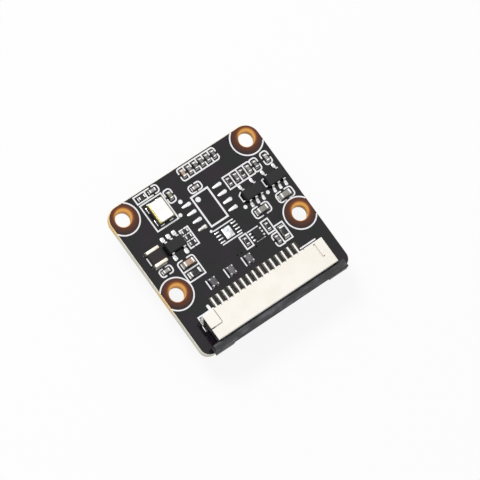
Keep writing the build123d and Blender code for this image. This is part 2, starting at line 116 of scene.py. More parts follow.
def add(tree, kind, values=None, links=None, stops=None, **settings):
    """Adds a node with its settings, socket values, links into it, and colour stops. A link
    comes from an output, or from a node's first output where it names a node."""
    node = tree.nodes.new("ShaderNode" + kind)
    for name, value in settings.items():
        setattr(node, name, value)
    for socket, value in (values or {}).items():
        node.inputs[socket].default_value = value
    for socket, source in (links or {}).items():
        output = source.outputs[0] if hasattr(source, "outputs") else source
        tree.links.new(output, node.inputs[socket])
    if stops:
        ramp = node.color_ramp.elements
        while len(ramp) < len(stops):
            ramp.new(1.0)
        for element, (place, code) in zip(ramp, stops):
            element.position = place
            element.color = paint(code)
    return node


def start_finish(name, **sockets):
    """New material: its tree, its shader, and the piece's own places in millimetres."""
    material = bpy.data.materials.new(name)
    material.use_nodes = True
    tree = material.node_tree
    shader = tree.nodes["Principled BSDF"]
    for socket, value in sockets.items():
        shader.inputs[socket.replace("_", " ")].default_value = value
    place = add(tree, "TexCoord").outputs["Object"]
    places = add(tree, "VectorMath", {"Scale": 1 / MM}, {0: place}, operation="SCALE")
    return material, tree, shader, places.outputs[0]


def relief(tree, shader, height, depth_mm):
    """Raises the surface by a height texture of that depth."""
    bump = add(tree, "Bump", {"Strength": 1.0, "Distance": depth_mm * MM}, {"Height": height})
    tree.links.new(bump.outputs[0], shader.inputs["Normal"])


def grainy(tree, shader, grains, rough, depth):
    """Lets a grain vary the gloss between two roughnesses, and the relief to a depth."""
    limits = {"From Min": 0.3, "From Max": 0.7, "To Min": rough[0], "To Max": rough[1]}
    gloss = add(tree, "MapRange", limits, {"Value": grains})
    tree.links.new(gloss.outputs[0], shader.inputs["Roughness"])
    relief(tree, shader, grains.outputs[0], depth)


def worked(name, colours, patch, rough, grain, depth, **sockets):
    """Finish of two colours in soft patches, with a grain that varies its gloss and relief.
    The widths of patches and grains and the relief's depth are in millimetres."""
    material, tree, shader, places = start_finish(name, **sockets)
    patches = add(tree, "TexNoise", {"Scale": 1 / patch, "Detail": 3.0}, {"Vector": places})
    tints = [(0.35, colours[0]), (0.65, colours[1])]
    tint = add(tree, "ValToRGB", None, {0: patches}, tints)
    tree.links.new(tint.outputs[0], shader.inputs["Base Color"])
    grains = add(tree, "TexNoise", {"Scale": 1 / grain, "Detail": 4.0}, {"Vector": places})
    grainy(tree, shader, grains, rough, depth)
    return material


def hole_distance(tree, places, shift=(0.0, 0.0)):
    """Distance in the plane of the board to the middle of the nearest mounting hole, or to a
    place beside it. Wrapping by the holes' spacing lays all four on the first one."""
    spacing = {1: (2 * FIRST_HOLE[0], 2 * FIRST_HOLE[1], 1e6), 2: (0.0, 0.0, -1e6)}
    wrapped = add(tree, "VectorMath", spacing, {0: places}, operation="WRAP")
    hole = {1: (FIRST_HOLE[0] + shift[0], FIRST_HOLE[1] + shift[1], 0.0)}
    away = add(tree, "VectorMath", hole, {0: wrapped}, operation="SUBTRACT")
    flat = {1: (1.0, 1.0, 0.0)}
    plane = add(tree, "VectorMath", flat, {0: away}, operation="MULTIPLY")
    length = add(tree, "VectorMath", None, {0: plane}, operation="LENGTH")
    return length.outputs["Value"]


def mask_finish():
    """Black epoxy solder mask, sprayed and cured: glossy black over copper, with a painted glow of
    brown and amber round the holes, where the board has no copper and light would come through it."""
    material, tree, shader, places = start_finish("black_solder_mask", IOR=1.43)
    # The painted glow is centred a little off each hole, so it is wider on one side.
    glow = hole_distance(tree, places, (0.22, 0.24))
    reach = {"From Min": HOLE_RADIUS, "From Max": CLEAR_ZONE}
    share = add(tree, "MapRange", reach, {"Value": glow})
    # Painted glow colours: amber by the hole, fading to dark brown.
    glow_browns = [(0.0, "#E0A04C"), (0.10, "#C07E34"), (0.24, "#743A14")]
    glow_browns += [(0.45, "#54260F"), (0.75, "#44200E"), (1.0, "#2C1610")]
    glow_colour = add(tree, "ValToRGB", None, {0: share}, glow_browns)
    wide = add(tree, "TexNoise", {"Scale": 0.3, "Detail": 2.0}, {"Vector": places})
    casts = [(0.36, "#1A0F1B"), (0.5, "#120E12"), (0.64, "#0B0F0E")]
    cast = add(tree, "ValToRGB", None, {0: wide}, casts)
    distance = hole_distance(tree, places)
    past = add(tree, "Math", {1: CLEAR_ZONE}, {0: distance}, operation="GREATER_THAN")
    links = {0: past, 6: glow_colour, 7: cast}
    colour = add(tree, "Mix", None, links, data_type="RGBA")
    tree.links.new(colour.outputs[2], shader.inputs["Base Color"])
    peel = add(tree, "TexNoise", {"Scale": 3.5, "Detail": 3.0}, {"Vector": places})
    grainy(tree, shader, peel, (0.1, 0.18), 0.002)
    return material


def laminate_finish():
    """Glass-fibre epoxy laminate, routed and drilled: pale straw edges with fine layers, and a
    painted amber glow at the drilled walls and the edges near them, for light that comes through
    the bare laminate there."""
    material, tree, shader, places = start_finish("glass_epoxy_laminate", IOR=1.55, Roughness=0.55)
    distance = hole_distance(tree, places)
    reach = {"From Min": HOLE_RADIUS, "From Max": 3.0}
    share = add(tree, "MapRange", reach, {"Value": distance})
    # Painted glow: amber near the holes, fading to the pale laminate.
    glow_ambers = [(0.0, "#DDA54E"), (0.15, "#E4AE5C"), (0.5, "#EFC888"), (0.75, "#EAD6AC")]
    glow_ambers += [(1.0, "#E2E0D4")]
    amber_glow = add(tree, "ValToRGB", None, {0: share}, glow_ambers)
    layers = {1: (1.2, 1.2, 14.0)}
    stretched = add(tree, "VectorMath", layers, {0: places}, operation="MULTIPLY")
    noise = {"Scale": 1.0, "Detail": 3.0}
    fibres = add(tree, "TexNoise", noise, {"Vector": stretched})
    shades = [(0.3, "#E9E4D2"), (0.6, "#FFFFFF")]
    shade = add(tree, "ValToRGB", None, {0: fibres}, shades)
    links = {6: amber_glow, 7: shade}
    colour = add(tree, "Mix", {0: 1.0}, links, data_type="RGBA", blend_type="MULTIPLY")
    tree.links.new(colour.outputs[2], shader.inputs["Base Color"])
    relief(tree, shader, fibres.outputs[0], 0.01)
    return material


def housing_finish():
    """Nylon, moulded ivory: warm white and satin with a very faint flow mottle, and painted shade
    that darkens the shallow grooves of the top."""
    material, tree, shader, places = start_finish("ivory_moulded_nylon", IOR=1.53)
    ivory = "#FFFDF9"
    flow = add(tree, "TexNoise", {"Scale": 0.4, "Detail": 3.0}, {"Vector": places})
    tint = add(tree, "ValToRGB", None, {0: flow}, [(0.35, "#FBF7F0"), (0.65, ivory)])
    parts = add(tree, "SeparateXYZ", None, {0: places}).outputs
    groove = {"From Min": GROOVE_FLOOR + 0.01, "From Max": GROOVE_FLOOR + 0.17}
    above_groove = add(tree, "MapRange", groove, {"Value": parts["Z"]})
    groove_shades = [(0.0, ivory), (0.02, "#8A8379"), (0.5, "#B2ABA1"), (1.0, ivory)]
    groove_shade = add(tree, "ValToRGB", None, {0: above_groove}, groove_shades)
    deep_groove_shades = [(0.0, ivory), (0.02, "#3F3B33"), (0.95, "#5A554D"), (1.0, ivory)]
    deep_groove_shade = add(tree, "ValToRGB", None, {0: above_groove}, deep_groove_shades)
    # The long groove beside the left block gets the darkest painted shade.
    long_groove = {1: LEFT_GROOVE, 2: 0.14}
    beside_block = add(tree, "Math", long_groove, {0: parts["X"]}, operation="COMPARE")
    links = {0: beside_block, 6: groove_shade, 7: deep_groove_shade}
    groove_darkening = add(tree, "Mix", None, links, data_type="RGBA")
    # The outer walls reach the same height and get no painted shade.
    low, high = box_mm("ffc_housing")
    middle, reach = {1: (low + high) / 2}, {1: (high - low) / 2}
    from_middle = add(tree, "VectorMath", middle, {0: places}, operation="SUBTRACT")
    aside = add(tree, "VectorMath", None, {0: from_middle}, operation="ABSOLUTE")
    past_wall = add(tree, "VectorMath", reach, {0: aside}, operation="SUBTRACT")
    walls = add(tree, "SeparateXYZ", None, {0: past_wall}).outputs
    nearest = add(tree, "Math", None, {0: walls["X"], 1: walls["Y"]}, operation="MAXIMUM")
    within = add(tree, "Math", {1: -0.03}, {0: nearest}, operation="LESS_THAN")
    links = {0: within, 6: tint, 7: groove_darkening.outputs[2]}
    colour = add(tree, "Mix", None, links, data_type="RGBA", blend_type="MULTIPLY")
    tree.links.new(colour.outputs[2], shader.inputs["Base Color"])
    grains = add(tree, "TexNoise", {"Scale": 8.0, "Detail": 4.0}, {"Vector": places})
    grainy(tree, shader, grains, (0.45, 0.58), 0.003)
    return material


def slider_finish():
    """Glass-filled nylon, moulded charcoal: satin, with faint pale scuffs along its length."""
    material, tree, shader, places = start_finish("charcoal_filled_nylon", IOR=1.53)
    streaks = {1: (0.45, 1.6, 1.6)}
    drawn = add(tree, "VectorMath", streaks, {0: places}, operation="MULTIPLY")
    scuffs = add(tree, "TexNoise", {"Scale": 1.0, "Detail": 6.0}, {"Vector": drawn})
    tones = [(0.38, "#161618"), (0.5, "#2B2B2E"), (0.62, "#505055")]
    tone = add(tree, "ValToRGB", None, {0: scuffs}, tones)
    tree.links.new(tone.outputs[0], shader.inputs["Base Color"])
    fibre = add(tree, "TexNoise", {"Scale": 12.0, "Detail": 4.0}, {"Vector": places})
    grainy(tree, shader, fibre, (0.5, 0.66), 0.006)
    return material


def brushed_finish():
    """Stainless steel sheet, rolled and stamped: fine lines along X, soft grey shine."""
    material, tree, shader, places = start_finish("rolled_stainless_steel", Metallic=1.0)
    lines = {1: (0.4, 22.0, 22.0)}
    drawn = add(tree, "VectorMath", lines, {0: places}, operation="MULTIPLY")
    rolled = add(tree, "TexNoise", {"Scale": 1.0, "Detail": 4.0}, {"Vector": drawn})
    tones = [(0.3, "#A9AAAD"), (0.7, "#C6C7C9")]
    tone = add(tree, "ValToRGB", None, {0: rolled}, tones)
    tree.links.new(tone.outputs[0], shader.inputs["Base Color"])
    limits = {"To Min": 0.28, "To Max": 0.44}
    gloss = add(tree, "MapRange", limits, {"Value": rolled})
    tree.links.new(gloss.outputs[0], shader.inputs["Roughness"])
    relief(tree, shader, rolled.outputs[0], 0.002)
    return material


def lens_finish():
    """Coated glass lens, polished: nearly black, with a thin violet-green coating."""
    material, tree, shader, places = start_finish(
        "coated_lens_glass", IOR=1.6, Roughness=0.04, Coat_Weight=1.0, Coat_Roughness=0.02
    )
    coating = add(tree, "TexNoise", {"Scale": 0.8, "Detail": 1.0}, {"Vector": places})
    tones = [(0.35, "#1B1030"), (0.55, "#10261F"), (0.7, "#08080C")]
    tone = add(tree, "ValToRGB", None, {0: coating}, tones)
    tree.links.new(tone.outputs[0], shader.inputs["Base Color"])
    polish = add(tree, "TexNoise", {"Scale": 0.6, "Detail": 1.0}, {"Vector": places})
    relief(tree, shader, polish.outputs[0], 0.001)
    return material


black_mask = mask_finish()
laminate = laminate_finish()
# Painted shade: a near-black disc stands in for the dark inside of an open via's drilled hole,
# where no light comes back.
via_hole_shade = worked(
    "painted_via_hole_shade", ("#020202", "#040404"), 0.1, (0.85, 0.95), 0.05, 0.001, IOR=1.1
)
# Screen-printed white epoxy ink: flat white with a slightly uneven, matt surface.
print_ink = worked(
    "white_epoxy_ink", ("#EDEDF0", "#F8F8FA"), 0.6, (0.5, 0.65), 0.08, 0.003, IOR=1.5
)
# Tin solder, melted and set: bright, rippled, with small matt spots.
solder = worked(
    "set_tin_solder", ("#DCDDDF", "#FAFAFB"), 0.3, (0.16, 0.34), 0.18, 0.006, Metallic=1.0
)
# The same on the chips' toes: thin slopes, duller with flux.
dull_solder = worked(
    "fluxed_tin_solder", ("#A3A19D", "#D0CEC9"), 0.2, (0.3, 0.45), 0.12, 0.004, Metallic=1.0
)
# Solder on the connector's pads: olive-grey under flux, darkened further as painted shade between
# the contact tails, and on the board locks as a painted reflection of the slider's dark arms.
flux_and_shade_solder = worked(
    "flux_and_painted_shade_solder", ("#1D1C17", "#625F56"), 0.14, (0.3, 0.5), 0.1, 0.01, Metallic=1.0
)
# The heat pad's solder, flattened: bright with blue-grey clouds.
cloudy_solder = worked(
    "flattened_tin_solder", ("#C4C6CE", "#FDFDFE"), 0.45, (0.2, 0.34), 0.2, 0.006, Metallic=1.0
)
# Solder left under dried flux on one of the bare pads: bright with dull olive stretches.
clouded_solder = worked(
    "flux_clouded_solder", ("#5F5E52", "#F4F4F1"), 0.42, (0.2, 0.4), 0.16, 0.006, Metallic=1.0
)
# Matt tin plating on chip ends: pale grey metal with a fine crystal grain.
chip_tin = worked(
    "matt_tin_plating", ("#DCDAD6", "#FAF9F7"), 0.16, (0.26, 0.4), 0.06, 0.003, Metallic=1.0
)
# Tin-plated copper alloy leads, stamped: smooth grey metal.
lead_tin = worked(
    "tin_plated_lead", ("#D6D6D7", "#EEEEEE"), 0.3, (0.22, 0.36), 0.1, 0.002, Metallic=1.0
)
# Barium titanate ceramic, fired: warm grey, dull, with a faint speckle. It comes in batches.
ceramic = {"rough": (0.5, 0.65), "grain": 0.05, "depth": 0.004, "IOR": 1.6}
grey_ceramic = worked("fired_grey_ceramic", ("#7A7772", "#94918B"), 0.12, **ceramic)
dark_ceramic = worked("fired_dark_ceramic", ("#5C5A57", "#747270"), 0.12, **ceramic)
pale_ceramic = worked("fired_pale_ceramic", ("#94908D", "#ACA8A5"), 0.12, **ceramic)
green_ceramic = worked("fired_green_ceramic", ("#72775F", "#8B907A"), 0.12, **ceramic)
# The same ceramic with a tan glaze, a little smoother.
glazed = {**ceramic, "rough": (0.5, 0.62)}
tan_ceramic = worked("fired_tan_ceramic", ("#A38772", "#BFA38D"), 0.15, **glazed)
# Alumina, fired: chalky white sides of a resistor.
alumina = worked(
    "fired_white_alumina", ("#D9D6CE", "#EAE8E2"), 0.1, (0.5, 0.65), 0.04, 0.004, IOR=1.75
)
# Black glass overcoat on the resistor's face: dark with a soft gloss.
overcoat = worked(
    "black_glass_overcoat", ("#121214", "#1B1B1E"), 0.2, (0.24, 0.36), 0.08, 0.003, IOR=1.5
)
# Nickel-zinc ferrite, pressed and fired: dark warm grey with a matt grain.
dark_ferrite = worked(
    "pressed_dark_ferrite", ("#1C1415", "#281F20"), 0.2, (0.68, 0.82), 0.06, 0.006, IOR=1.45
)
# The chokes' paler ferrite, and the darker batch of the first choke.
ferrite = {"rough": (0.6, 0.75), "grain": 0.05, "depth": 0.006, "IOR": 1.5}
pale_ferrite = worked("pressed_pale_ferrite", ("#565358", "#7A777D"), 0.09, **ferrite)
dark_choke = worked("pressed_grey_ferrite", ("#47444A", "#656268"), 0.09, **ferrite)
# Tin over silver on the inductor's ends: creamy matt metal.
cream_tin = worked(
    "creamy_tin_plating", ("#DAD2BF", "#F6F1E4"), 0.2, (0.34, 0.48), 0.05, 0.004, Metallic=1.0
)
# Epoxy mould compound: charcoal, with the fine sandy grain of its filler.
mould_epoxy = worked(
    "filled_mould_epoxy", ("#0F0F11", "#18181A"), 0.3, (0.66, 0.8), 0.07, 0.006, IOR=1.45
)
# Black-brown alumina of the oscillator's base, fired: dull and smooth.
dark_alumina = worked(
    "fired_brown_alumina", ("#1E1510", "#2B2018"), 0.2, (0.5, 0.65), 0.06, 0.004, IOR=1.6
)
# Gold-plated seal ring: thin warm yellow metal.
seal_gold = worked(
    "plated_seal_gold", ("#B0A95F", "#CCC58A"), 0.2, (0.2, 0.34), 0.08, 0.002, Metallic=1.0
)
# Nickel-plated lid, seam welded: bright, nearly white metal.
lid_nickel = worked(
    "plated_lid_nickel", ("#F3EDEE", "#FFFBFC"), 0.8, (0.2, 0.32), 0.15, 0.002, Metallic=1.0
)
ivory_nylon = housing_finish()
charcoal_nylon = slider_finish()
# Phosphor bronze contacts, stamped and tin-plated: silvery with a trace of warmth.
contact_tin = worked(
    "tin_plated_bronze", ("#EAE8E4", "#FBFAF8"), 0.3, (0.2, 0.34), 0.09, 0.002, Metallic=1.0
)
# Acrylic foam tape, die cut: matt black with open cells about a tenth of a millimetre wide.
foam_tape = worked(
    "black_foam_tape", ("#161617", "#242425"), 0.15, (0.8, 0.95), 0.11, 0.03, IOR=1.45
)
steel_plate = brushed_finish()
# Polyimide film over copper: glossy amber-brown.
flex_film = worked(
    "amber_polyimide_film", ("#8A4F16", "#A2621F"), 1.5, (0.22, 0.32), 0.3, 0.003, IOR=1.7
)
# Copper under the flex's film: it shows as paler orange lines.
flex_copper = worked(
    "filmed_copper", ("#B87333", "#C98A48"), 0.6, (0.25, 0.35), 0.2, 0.002, IOR=1.7
)
# Silicon die under its cover: dark with a blue-grey gloss.
sensor_die = worked(
    "polished_silicon", ("#20242B", "#2A3038"), 0.8, (0.1, 0.2), 0.3, 0.001, IOR=1.9
)
# Infrared filter, coated glass: dark cyan-red gloss.
filter_glass = worked(
    "coated_filter_glass", ("#1C2B33", "#33202B"), 2.0, (0.05, 0.1), 0.5, 0.001, IOR=1.52
)
# Liquid crystal polymer, moulded black: satin with fine texture of the tool.
black_polymer = worked(
    "black_moulded_polymer", ("#151516", "#1E1E20"), 0.6, (0.4, 0.55), 0.1, 0.008, IOR=1.55
)
# Black polycarbonate barrel, moulded: smoother than the holder.
black_barrel = worked(
    "black_polycarbonate", ("#121213", "#1A1A1C"), 0.8, (0.25, 0.36), 0.15, 0.004, IOR=1.58
)
lens_glass = lens_finish()
# Beige nylon of the small board socket, moulded.
socket_nylon = worked(
    "beige_moulded_nylon", ("#CFC6AE", "#DDD5C0"), 0.8, (0.42, 0.55), 0.1, 0.004, IOR=1.53
)


# Shapes


def new_object(name, data):
    """New object of that data, in the scene."""
    made = bpy.data.objects.new(name, data)
    bpy.context.scene.collection.objects.link(made)
    return made


def finish_piece(shape, name, finishes, stands_for=None, crease=50):
    """Turns a shape in millimetres into a named piece that rides on the board's body."""
    bmesh.ops.remove_doubles(shape, verts=shape.verts, dist=1e-5)
    bmesh.ops.recalc_face_normals(shape, faces=shape.faces)
    for face in shape.faces:
        face.smooth = True
    for edge in shape.edges:
        edge.smooth = len(edge.link_faces) == 2 and edge.calc_face_angle(0) < math.radians(crease)
    mesh = bpy.data.meshes.new(name)
    bmesh.ops.scale(shape, vec=(MM, MM, MM), verts=shape.verts)
    shape.to_mesh(mesh)
    shape.free()
    for material in finishes:
        mesh.materials.append(material)
    piece = new_object(name, mesh)
    weighted = piece.modifiers.new("even_shading", "WEIGHTED_NORMAL")
    weighted.keep_sharp = True
    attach(piece, BOARD)
    if stands_for:
        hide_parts(stands_for)


def ring_at(shape, outline, height):
    """Ring of new points on a closed outline, at that height."""
    return [shape.verts.new((x, y, height)) for x, y in outline]


def band(shape, below, above, finish=0):
    """Faces between two rings of points."""
    for i in range(len(below)):
        j = (i + 1) % len(below)
        shape.faces.new((below[i], below[j], above[j], above[i])).material_index = finish


def stack(shape, rings, finish=0):
    """Closed form through rings of points, from its foot up. The finish is one for all, or
    the foot's, each band's and the top's."""
    finishes = finish if isinstance(finish, tuple) else (finish,) * (len(rings) + 1)
    shape.faces.new(rings[0][::-1]).material_index = finishes[0]
    for below, above, between in zip(rings, rings[1:], finishes[1:]):
        band(shape, below, above, between)
    shape.faces.new(rings[-1]).material_index = finishes[-1]


def slab(shape, outline, floor, top, finish=0):
    """Prism on a closed outline of (x, y) points."""
    stack(shape, [ring_at(shape, outline, floor), ring_at(shape, outline, top)], finish)


def block(shape, low, high, edge, finish=0, steps=2):
    """Box between two corners with softened edges."""
    size = Vector(high) - Vector(low)
    middle = (Vector(high) + Vector(low)) / 2
    made = bmesh.ops.create_cube(shape, size=1.0)["verts"]
    bmesh.ops.scale(shape, vec=size, verts=made)
    bmesh.ops.translate(shape, vec=middle, verts=made)
    faces = {face for vert in made for face in vert.link_faces}
    for face in faces:
        face.material_index = finish
    edges = list({side for vert in made for side in vert.link_edges})
    bmesh.ops.bevel(shape, geom=edges, offset=edge, segments=steps, profile=0.5, affect="EDGES")


def arc(centre, radius, first, last, steps):
    """Points on an arc, angles in degrees."""
    turns = [math.radians(first + (last - first) * i / steps) for i in range(steps + 1)]
    return [(centre[0] + radius * math.cos(a), centre[1] + radius * math.sin(a)) for a in turns]


def round_box(left, foot, right, head, radius, steps=4):
    """Closed outline of a box with round corners."""
    outline = arc((right - radius, head - radius), radius, 90, 0, steps)
    outline += arc((right - radius, foot + radius), radius, 0, -90, steps)
    outline += arc((left + radius, foot + radius), radius, -90, -180, steps)
    outline += arc((left + radius, head - radius), radius, 180, 90, steps)
    return outline[::-1]


def offsets(line, half, closed):
    """Points on both sides of a line, mitred at its corners."""
    points = [Vector(p) for p in line]
    count = len(points)
    left, right = [], []
    for i, point in enumerate(points):
        ways = []
        if i or closed:
            ways.append((point - points[i - 1]).normalized())
        if i < count - 1 or closed:
            ways.append((points[(i + 1) % count] - point).normalized())
        along = sum(ways, Vector((0, 0))).normalized()
        side = Vector((-along.y, along.x))
        reach = half / max(0.5, along.dot(ways[0]))
        left.append(tuple(point + side * reach))
        right.append(tuple(point - side * reach))
    return left, right


def ribbon(shape, line, width, floor, top, closed=False):
    """Raised strip along a line, with round ends."""
    left, right = offsets(line, width / 2, closed)
    if closed:
        rims = [ring_at(shape, side, z) for side in (left, right) for z in (floor, top)]
        for a, b in ((0, 1), (1, 3), (3, 2), (2, 0)):
            band(shape, rims[a], rims[b])
        return
    outline = list(right)
    for end in (-1, 0):
        centre = Vector(line[end])
        start = Vector(outline[-1]) - centre
        angle = math.degrees(math.atan2(start.y, start.x))
        outline += arc(centre, start.length, angle, angle + 180, 6)[1:-1]
        if end == -1:
            outline += left[::-1]
    slab(shape, outline, floor, top)


def mound(shape, outline, spine, height, finish=0, steps=4):
    """Domed solder on a closed outline, highest along its spine."""
    rim = 0.02
    first, last = Vector(spine[0]), Vector(spine[1])
    run = last - first
    rings = [ring_at(shape, outline, 0.0)]
    for step in range(steps):
        angle = math.radians(90) * step / steps
        drawn = []
        for place in outline:
            point = Vector(place)
            along = 0.0
            if run.length:
                along = min(1.0, max(0.0, (point - first).dot(run) / run.length_squared))
            heart = first + run * along
            drawn.append(heart + (point - heart) * math.cos(angle))
        rings.append(ring_at(shape, drawn, rim + (height - rim) * math.sin(angle)))
    stack(shape, rings, finish)


def solder_pad(shape, x, y, length, width, height):
    """Oblong domed pad about a place."""
    radius = min(length, width) * 0.35
    outline = round_box(x - length / 2, y - width / 2, x + length / 2, y + width / 2, radius)
    spare = abs(length - width) / 2
    way = (spare, 0) if length > width else (0, spare)
    spine = ((x - way[0], y - way[1]), (x + way[0], y + way[1]))
    mound(shape, outline, spine, height)


def solder_fillet(shape, x, y, way, half, height, reach):
    """Concave solder slope that leaves a metal end at (x, y) in the direction way."""
    way = Vector(way)
    side = Vector((-way.y, way.x))
    lap, tip, flare, steps = 0.03, 0.03, 0.05, 5
    rings = []
    for step in range(steps + 1):
        share = step / steps
        rise = tip + (height - tip) * (1 - share) ** 2.2
        centre = Vector((x, y)) + way * (reach * share - lap)
        spread = half + flare * share
        left, right = centre - side * spread, centre + side * spread
        ring = [(*left, 0.0), (*left, rise * 0.8), (*centre, rise), (*right, rise * 0.8)]
        rings.append([shape.verts.new(point) for point in ring + [(*right, 0.0)]])
    stack(shape, rings)


# Circuit board


def board_outline(inset=0.0):
    """Outline of the board, drawn in by that much."""
    left, right = board_low.x + inset, board_high.x - inset
    foot, head = board_low.y + inset, board_high.y - inset
    top, low = TOP_CORNER - inset, FOOT_CORNER - inset
    outline = arc((right - top, head - top), top, 0, 90, 12)
    outline += arc((left + top, head - top), top, 90, 180, 12)
    outline += arc((left + low, foot + low), low, 180, 270, 10)
    outline += arc((right - low, foot + low), low, 270, 360, 10)
    return outline


def circuit_board():
    """Laminate with a mask skin on both faces, drawn back a little from the worn edges and
    the drilled holes, where the laminate is bare."""
    shape = bmesh.new()
    # Height, and how far the mask is drawn back from the edge and the holes.
    levels = [(0.0, 0.08), (-0.012, 0.07), (-0.05, 0.0)]
    levels += [(board_low.z - z, back) for z, back in levels[::-1]]
    loops = []
    for z, back in levels:
        rings = [[(x + (MASK_SHIFT if back else 0), y) for x, y in board_outline(back)]]
        rings += [arc(hole, HOLE_RADIUS + back, 0, 360, 40)[:-1] for hole in HOLES]
        loops.append([ring_at(shape, ring, z) for ring in rings])
    last = len(levels) - 1
    for level in range(last):
        for high, low in zip(loops[level], loops[level + 1]):
            band(shape, high, low, 0 if level in (0, last - 1) else 1)
    for level in (0, last):
        edges = []
        for ring in loops[level]:
            edges += [shape.edges.get(ends) for ends in zip(ring, ring[1:] + ring[:1])]
        bmesh.ops.triangle_fill(shape, use_beauty=True, edges=edges)
    finishes = [black_mask, laminate]
    finish_piece(shape, "board_laminate", finishes, "circuit_board")


# Printed lines, in millimetres from the board's left and top edges. A box is its left, top,
# right and bottom lines, the radius of its corners or four radii clockwise from the top left,
# and a gap in it, where it has one, as left, top, right and bottom.
PRINTED_BOXES = [
    (4.87, 0.33, 6.65, 1.45, 0),
    (6.65, 0.33, 8.65, 1.45, (0, 0.42, 0.42, 0), (7.55, 0, 7.8, 2)),
    (4.95, 1.78, 8.47, 6.0, 0),
    (8.72, 1.8, 9.88, 3.78, (0.35, 0.42, 0.42, 0.35), (8, 2.7, 10.5, 2.95)),
    (11.98, 3.17, 13.93, 4.28, 0.38, (12.86, 3, 13.04, 4.5)),
    (16.87, 4.66, 17.97, 6.6, 0),
    (17.97, 4.66, 19.1, 6.6, 0),
    (19.1, 4.66, 20.2, 6.6, 0),
    (20.2, 4.66, 21.35, 6.6, (0.2, 0.3, 0.3, 0), (21.1, 5.5, 21.6, 5.75)),
    (21.35, 4.66, 22.45, 6.6, (0.3, 0.42, 0.42, 0.3), (21.1, 5.5, 22.8, 5.75)),
    (23.15, 4.66, 24.28, 6.58, 0.4, (22.8, 5.5, 24.6, 5.75)),
    (17.45, 10.56, 20.13, 12.05, 0.42, (18.62, 10, 19.08, 12.5)),
    (21.53, 10.58, 24.15, 12.0, 0.42, (22.63, 10, 23.05, 12.5)),
    (1.68, 10.57, 3.6, 11.67, 0.36, (2.45, 10, 2.75, 12)),
    (4.42, 11.08, 7.08, 12.65, (0.38, 0.38, 0, 0), (5.45, 10.8, 6.0, 11.3)),
    (4.42, 12.65, 7.08, 14.2, 0),
    (13.8, 12.76, 14.92, 14.7, 0),
    (17.55, 12.64, 18.7, 14.56, 0),
    (17.63, 14.92, 18.75, 16.8, (0.38, 0, 0, 0.38), (17.4, 15.75, 17.9, 16.0)),
    (18.75, 14.1, 20.15, 16.7, 0),
]
# A row of six boxes that touch, with round ends and one gap through them all.
for cell in range(6):
    cell_left, cell_right = 12.15 + 1.035 * cell, 13.185 + 1.035 * cell
    left_radius, right_radius = 0.35 if cell == 0 else 0, 0.4 if cell == 5 else 0
    radii = (left_radius, right_radius, right_radius, left_radius)
    PRINTED_BOXES.append((cell_left, 0.33, cell_right, 2.22, radii, (11.9, 1.12, 18.7, 1.4)))

# Printed lines that aren't boxes, each its points and its width.
PRINTED_LINES = [
    ([(17.8, 7.68), (17.36, 7.98), (17.36, 8.98), (17.56, 9.0)], THIN_PRINT),
    ([(21.62, 7.86), (21.27, 7.9), (21.27, 8.96), (21.45, 8.98)], THIN_PRINT),
    ([(1.42, 8.28), (1.42, 9.38)], 0.18),
    ([(7.42, 7.85), (7.42, 7.56), (7.9, 7.56)], PRINT_WIDTH),
    ([(8.2, 7.56), (8.8, 7.56), (8.8, 10.37), (8.2, 10.37)], PRINT_WIDTH),
    ([(7.92, 10.37), (7.38, 10.37), (7.38, 9.6)], PRINT_WIDTH),
]
for dash_down in (8.42, 9.35):
    for dash_left, dash_right in ((7.46, 7.92), (8.2, 8.8)):
        PRINTED_LINES.append(([(dash_left, dash_down), (dash_right, dash_down)], THIN_PRINT))
PRINTED_LINES += [
    ([(11.4, 10.12), (14.6, 10.12)], THIN_PRINT),
    ([(11.4, 12.4), (14.6, 12.4)], THIN_PRINT),
    ([(15.2, 12.8), (16.9, 12.8)], THIN_PRINT),
    ([(15.62, 14.58), (16.95, 14.58)], 0.13),
]
for beside_regulator in (6.33, 9.36, 12.36):
    PRINTED_LINES.append(([(beside_regulator, 15.22), (beside_regulator, 16.52)], 0.19))
PRINTED_LINES += [
    ([(2.42, 20.0), (2.42, 18.78), (5.0, 18.78)], PRINT_WIDTH),
    ([(20.0, 18.62), (22.5, 18.62)], PRINT_WIDTH),
    ([(4.5, 18.15), (4.52, 18.72)], 0.42),
]
# Printed dots, each its place and its radius.
PRINTED_DOTS = [
    (8.92, 5.8, 0.28),
    (10.03, 4.27, 0.31),
    (12.27, 5.33, 0.38),
    (17.15, 9.73, 0.28),
    (21.0, 9.73, 0.27),
    (11.13, 9.95, 0.2),
]
BIG_BOX = (11.58, 4.6, 14.37, 9.43)  # square corners, drawn wider than the others
BIG_BOX_WIDTH = 0.25


def box_path(left, top, right, bottom, radii):
    """Closed path of a printed box, clockwise as seen, in board millimetres."""
    radii = radii if isinstance(radii, tuple) else (radii,) * 4
    corners = [(left, top, 1, 1), (right, top, -1, 1)]
    corners += [(right, bottom, -1, -1), (left, bottom, 1, -1)]
    path = []
    for turn, ((x, y, sx, sy), radius) in enumerate(zip(corners, radii)):
        if radius:
            centre = (x + sx * radius, y + sy * radius)
            path += arc(centre, radius, 180 + 90 * turn, 270 + 90 * turn, 5)
        else:
            path.append((x, y))
    return path


def in_gap(point, gap):
    """Whether a point lies in a gap, which the round ends of the lines would narrow."""
    (x, y), (left, top, right, bottom), end = point, gap, PRINT_WIDTH / 2
    return left - end < x < right + end and top - end < y < bottom + end


def kept_runs(path, kept):
    """Runs of a closed path's points that are kept, where some aren't."""
    start = kept.index(False)
    runs, run = [], []
    for step in range(len(path) + 1):
        index = (start + step) % len(path)
        if kept[index]:
            run.append(path[index])
        elif run:
            runs.append(run)
            run = []
    return runs


